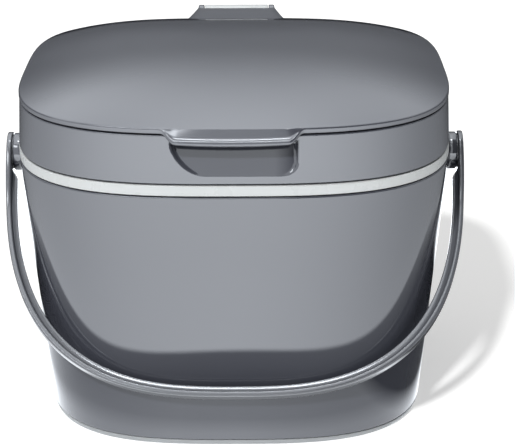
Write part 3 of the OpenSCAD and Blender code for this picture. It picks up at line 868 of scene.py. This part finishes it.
# Lid
lid = {
    "inset": 0.9,
    "rise": 13.0,
    "power": 2.8,
    "shell": 2.2,
    "edgeRadius": 0.9,
    "lipHalf": 25.8,
    "lipBlend": 7.2,
    "lipSag": 0.16,
    "lipFromY": -60,
    "lipStart": 0.993,
    "creaseY": -80,
    "creaseBand": 0.2,
    "creaseAngle": 25,
    "underTop": 151.2,
    "ribOut": -9.8,
    "ribIn": -11.3,
    "ribLow": 142.9,
    "seatZ": 148.0,
    "steps": 720,
}


def domeZ(share):
    return caddy["shoulder"] + lid["rise"] * (1 - share ** lid["power"])


def lidRows():
    # the lid's section twice over with the same points: with its plain edge, and with the front lip
    shoulder, low, inset, t = caddy["shoulder"], caddy["lidLow"], lid["inset"], lid["shell"]
    plain = [(-inset, domeZ(s), s) for s in (0.97, 0.98, 0.988)]
    # the dome runs on into a small arc with the same slope
    r = lid["edgeRadius"]
    slope = lid["rise"] * lid["power"] / (caddy["halfDepth"] - inset)
    start = math.pi / 2 - math.atan(slope)
    middle = shoulder - r * (math.sin(start) - slope * (1 - math.cos(start)))
    for k in range(9):
        a = start * (1 - k / 8)
        plain.append((-inset - r + r * math.cos(a), middle + r * math.sin(a), 1))
    plain += [(-inset, shoulder - 0.9, 1), (-inset, shoulder - 1.4, 1)]
    plain += [(-inset, low + 0.35, 1), (-inset - 0.09, low + 0.09, 1), (-inset - 0.35, low, 1)]
    plain += [(-inset - 0.4 - 0.28 * k, low, 1) for k in range(6)]
    # from the crease down the lip's face, round its bead and back up inside
    face = [
        (0.0, 0.0), (0.25, -0.36), (0.5, -0.71), (0.9, -1.27), (1.75, -2.45), (2.45, -3.42),
        (2.70, -3.46), (2.95, -3.46), (3.35, -3.58), (3.72, -3.87), (3.94, -4.3), (4.0, -4.75),
        (3.86, -5.2), (3.48, -5.58), (2.9, -5.75), (2.3, -5.6), (1.85, -5.15), (1.2, -3.9),
        (0.4, -2.9), (-0.9, -2.3),
    ]
    lips = [plain[0], plain[1], (-inset, domeZ(lid["lipStart"]), lid["lipStart"])]
    lips += [(-inset + out, shoulder + drop, 1) for out, drop in face]
    lips.append(plain[-1])
    top = [
        0.0, 0.05, 0.1, 0.16, 0.22, 0.28, 0.34, 0.4, 0.46, 0.52,
        0.58, 0.64, 0.7, 0.75, 0.8, 0.84, 0.88, 0.91, 0.935, 0.955,
    ]
    over = [(-inset, domeZ(s), s) for s in top]
    seat, ribOut, ribIn, ribLow = (lid[k] for k in ("seatZ", "ribOut", "ribIn", "ribLow"))
    under = [(-inset - t, low + 0.1, 1), (-inset - t, low + 0.6, 1), (-inset - t, seat, 1), (ribOut, seat, 1)]
    under += [(ribOut, ribLow, 1), (ribIn, ribLow, 1), (ribIn, lid["underTop"], 1)]
    under += [(-inset, domeZ(s) - t, s) for s in (0.87, 0.8, 0.7, 0.58, 0.45, 0.3, 0.15, 0.0)]
    return over + plain + under, over + lips + under


def creaseLip(mesh, half):
    # a crisp line where the lip's face leaves the dome
    work = bmesh.new()
    work.from_mesh(mesh)
    for e in work.edges:
        spot = (e.verts[0].co + e.verts[1].co) / 2 / mm
        level = abs(spot.z - caddy["shoulder"]) < lid["creaseBand"]
        if spot.y < lid["creaseY"] and abs(spot.x) < half and level:
            e.smooth = e.calc_face_angle(0) < math.radians(lid["creaseAngle"])
    work.to_mesh(mesh)
    work.free()


def makeLid():
    plain, lips = lidRows()
    piece = stripMesh("lid_shell", plain, False, steps=lid["steps"])
    twin = stripMesh("lipTwin", lips, False, steps=lid["steps"])
    # both are bent round with no weld, so that their points still pair up, then blended along the front edge
    for strip in (piece, twin):
        bendRound(strip, made["lidCharcoalAbs"], weld=0.0)
    half, blend, edgeZ = lid["lipHalf"], lid["lipBlend"] / 2, caddy["shoulder"] * mm
    for v, w in zip(piece.data.vertices, twin.data.vertices):
        if v.co.y < lid["lipFromY"] * mm:
            # the lip hangs lowest in its middle
            sag = 1 + lid["lipSag"] * max(0.0, 1 - (v.co.x / mm / half) ** 2)
            w.co.z = edgeZ + (w.co.z - edgeZ) * sag if w.co.z < edgeZ else w.co.z
            v.co = v.co.lerp(w.co, smooth(half + blend, half - blend, abs(v.co.x) / mm))
    bpy.data.objects.remove(twin)
    tidyFaces(piece.data)
    creaseLip(piece.data, half - blend)
    piece = join("lid_dome", piece, makeFairing())
    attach(piece, "lid")
    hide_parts("lid")


fairing = {
    "front": 66.0,
    "slotEdge": 85.0,
    "slotTop": 156.2,
    "earHalf": 18.8,
    "flare": 4.6,
    "earRadius": 5.0,
    "slotHalf": 16.0,
    "slotRadius": 5.6,
    "stations": 26,
    "columns": 12,
    "edge": 0.5,
    "edgeLeast": 0.12,
    "flarePower": 1.2,
    "sink": 1.6,
    "sinkFront": 0.15,
    "riseBehind": 0.8,
    "creaseAngle": 38,
}


def makeFairing():
    # the raised tab at the back: stations from the dome's crest to the hinge, each with a width and a height
    front, yh, zh, r = fairing["front"], caddy["hingeY"], caddy["hingeZ"], fairing["earRadius"]
    outline = caddy["halfDepth"] - lid["inset"]
    startZ, columns = domeZ(front / outline) - fairing["sinkFront"], fairing["columns"]
    work = bmesh.new()
    rings = []
    for k in range(fairing["stations"] + 1):
        t = k / fairing["stations"]
        y = front + (yh - front) * t
        climb = min(1.0, (y - front) / (fairing["slotEdge"] - front))
        top = startZ + (fairing["slotTop"] - startZ) * climb
        low = domeZ(min(1.0, y / outline)) - fairing["sink"]
        low += max(0.0, y - outline) * fairing["riseBehind"]
        wide = fairing["earHalf"] + fairing["flare"] * (1 - t) ** fairing["flarePower"]
        e = min(fairing["edge"], max(fairing["edgeLeast"], (top - low) * 0.3))
        ring = [(-wide, low), (-wide, top - e), (-wide + e * 0.3, top - e * 0.3), (-wide + e, top)]
        ring += [(-wide + e + (2 * (wide - e)) * j / columns, top) for j in range(1, columns)]
        ring += [(wide - e, top), (wide - e * 0.3, top - e * 0.3), (wide, top - e), (wide, low)]
        rings.append([work.verts.new((x * mm, y * mm, z * mm)) for x, z in ring])
    skin(work, rings)
    tab = pieceFrom("fairingTab", work, made["lidCharcoalAbs"])
    inner, outer = fairing["slotHalf"], fairing["earHalf"]
    profile = [
        (inner, 0), (inner, r - 0.3), (inner + 0.3, r), (outer - 0.5, r), (outer, r - 0.5), (outer, 0),
    ]
    ears = [turned("ear", profile, yh, zh, made["lidCharcoalAbs"], sign=side) for side in (-1, 1)]
    return cutSlot(join("fairingAll", tab, *ears))


def cutSlot(piece):
    # room for the frame's barrel between the ears
    half, r = fairing["slotHalf"], fairing["slotRadius"]
    profile = [(-half, 0), (-half, r), (half, r), (half, 0)]
    cutter = turned("slot", profile, caddy["hingeY"], caddy["hingeZ"], made["lidCharcoalAbs"])
    cut = piece.modifiers.new("slot", "BOOLEAN")
    cut.operation = "DIFFERENCE"
    cut.solver = "EXACT"
    cut.use_self = True
    cut.object = cutter
    ready = bpy.context.evaluated_depsgraph_get()
    mesh = bpy.data.meshes.new_from_object(piece.evaluated_get(ready))
    piece.modifiers.clear()
    piece.data = mesh
    bpy.data.objects.remove(cutter)
    work = bmesh.new()
    work.from_mesh(mesh)
    bmesh.ops.remove_doubles(work, verts=work.verts, dist=2e-6)
    bmesh.ops.recalc_face_normals(work, faces=work.faces)
    crease = math.radians(fairing["creaseAngle"])
    for e in work.edges:
        e.smooth = len(e.link_faces) == 2 and e.calc_face_angle(0) < crease
    for f in work.faces:
        f.smooth = True
        f.material_index = 0
    work.to_mesh(mesh)
    work.free()
    return piece


makeLid()
print("lid made")


liner = {"out": -8.2, "low": 141.0, "top": 148.0, "wall": 1.5, "edge": 0.8, "floorEdge": 0.9}
# both seals as a box in section: out from the rim, and height
lidSeal = {"in": -5.2, "out": -3.3, "low": 146.5, "top": 148.0}
rimSeal = {"in": -2.6, "out": -1.0, "low": 120.1, "top": 121.5}


def makeLidLiner():
    out, low, top, wall, edge = (liner[k] for k in ("out", "low", "top", "wall", "edge"))
    floorOut = out - wall - liner["floorEdge"]
    side = fillet([
        (out - edge, low, 0),
        (out, low, edge),
        (out, top, 0.2),
        (out - wall, top, 0.2),
        (out - wall, low + wall, 0.6),
        (floorOut, low + wall, 0),
    ])
    rows = diskRows(out - edge, low, False) + side + diskRows(floorOut, low + wall, True)
    piece = ringPiece("lid_liner_tray", rows, made["linerPolypropylene"], closed=False)
    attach(piece, "lid")
    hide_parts("lid_liner")


def makeSeal(name, size, node, body):
    rows = fillet([
        (size["in"], size["low"], 0.45),
        (size["out"], size["low"], 0.45),
        (size["out"], size["top"], 0.2),
        (size["in"], size["top"], 0.2),
    ], closed=True)
    piece = ringPiece(name, rows, made["sealSilicone"])
    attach(piece, body)
    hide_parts(node)


makeLidLiner()
makeSeal("lid_seal_lip", lidSeal, "lid_seal", "lid")
makeSeal("rim_seal_cord", rimSeal, "rim_seal", "frame")
print("liner and seals made")


# Handle: a strap with a rib, bent round a squarish oval in its own leaning plane
handle = {
    "reach": 119.191,
    "lean": 45.368,
    "squareness": 2.8,
    "strap": 2.4,
    "width": 6.0,
    "edge": 0.7,
    "rib": 2.5,
    "ribWidth": 3.0,
    "ribEdge": 0.4,
    "ribFrom": 9.5,
    "ribFull": 15.5,
    "end": 9.0,
    "endBlend": 32,
    "steps": 220,
}


def handleWidth(v):
    # half the strap's width at a distance below the pivot, with the round end above it
    if v <= 0:
        return math.sqrt(max(0.0, handle["end"] ** 2 - v * v))
    blend = smooth(0, handle["endBlend"], v)
    return handle["end"] * (1 - blend) + handle["width"] / 2 * blend


def handleSection(half, rib):
    # one closed section, as (inwards, across) in mm, always with the same number of points
    t = handle["strap"]
    e = min(handle["edge"], half * 0.45)
    hr = min(handle["ribWidth"] / 2, half * 0.5)
    q = handle["ribEdge"] * min(1.0, rib / handle["rib"])
    arc = [math.radians(22.5 * k) for k in range(5)]
    right = [(e - e * math.cos(a), half - e + e * math.sin(a)) for a in arc]
    right += [(t - e + e * math.sin(a), half - e + e * math.cos(a)) for a in arc]
    right += [(t, hr + 0.25), (t + 0.12 * rib, hr)]
    right += [(t + rib - q + q * math.sin(a), hr - q + q * math.cos(a)) for a in arc]
    right.append((t + rib, 0.0))
    left = [(a, -b) for a, b in right[::-1]][1:]
    return right + left + [(0.0, -half * 0.4), (0.0, 0.0), (0.0, half * 0.4)]


def makeHandle():
    x1, reach, power, steps = caddy["pivotEnd"], handle["reach"], handle["squareness"], handle["steps"]
    top = [-handle["end"] * math.cos(math.radians(a)) for a in (4, 12, 20, 28, 36, 44, 52, 60, 70, 80)]
    stations = [("arm", v, -1) for v in top]
    stations += [("loop", math.pi * k / steps, 0) for k in range(steps + 1)]
    stations += [("arm", v, 1) for v in top[::-1]]
    work = bmesh.new()
    rings = []
    for kind, value, side in stations:
        c, s = (0.0, 0.0) if kind == "arm" else (-math.cos(value), max(0.0, math.sin(value)))
        q = 1.0 if kind == "arm" else (abs(c) ** power + s ** power) ** (-1 / power)
        v = value if kind == "arm" else reach * s * q
        rib = handle["rib"] * smooth(handle["ribFrom"], handle["ribFull"], v)
        ring = []
        for inwards, across in handleSection(max(handleWidth(v), 0.3), rib):
            if kind == "arm":
                place = (side * (x1 - inwards), v, across)
            else:
                place = ((x1 - inwards) * c * q, (reach - inwards) * s * q, across)
            ring.append(work.verts.new(place))
        rings.append(ring)
    skin(work, rings)
    # lean the loop's plane forward and hang it on the pivots
    turn = Matrix.Rotation(math.radians(270 - handle["lean"]), 4, "X")
    lift = Matrix.Translation((0, 0, caddy["pivotZ"]))
    bmesh.ops.transform(work, matrix=Matrix.Scale(mm, 4) @ lift @ turn, verts=work.verts)
    piece = pieceFrom("handle_strap", work, made["handleCharcoalAbs"])
    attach(piece, "handle")
    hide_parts("handle")


makeHandle()
print("handle made")


hub = {"start": 94.0, "end": 101.124, "radius": 8.6, "taper": 0.06, "edge": 0.6, "steps": 96}


def dress(node, material):
    for s in node.material_slots:
        s.material = material


def makePivots():
    start, end, r, e, taper = (hub[k] for k in ("start", "end", "radius", "edge", "taper"))
    profile = [(start, 0), (start, r), (end - 2, r - 0.04), (end - e, r - taper)]
    for a in (22.5, 45, 67.5, 90):
        turn = math.radians(a)
        profile.append((end - e + e * math.sin(turn), r - taper - e + e * math.cos(turn)))
    profile.append((end, 0))
    for side, word in ((-1, "left"), (1, "right")):
        plastic = made["polishedCharcoalAbs"]
        piece = turned("hub_" + word, profile, 0, caddy["pivotZ"], plastic, hub["steps"], side)
        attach(piece, "pail")
        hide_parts("pivot_hub_" + word)
        # the washers take the nearly black finish that stands in for the shaded gap, the pins bright steel
        for node, name in (("pivot_washer_", "washerGapShadeNylon"), ("pivot_pin_", "turnedStainless")):
            dress(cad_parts[node + word], made[name])
    dress(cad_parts["hinge_pin"], made["turnedStainless"])


makePivots()
print("pivots made")
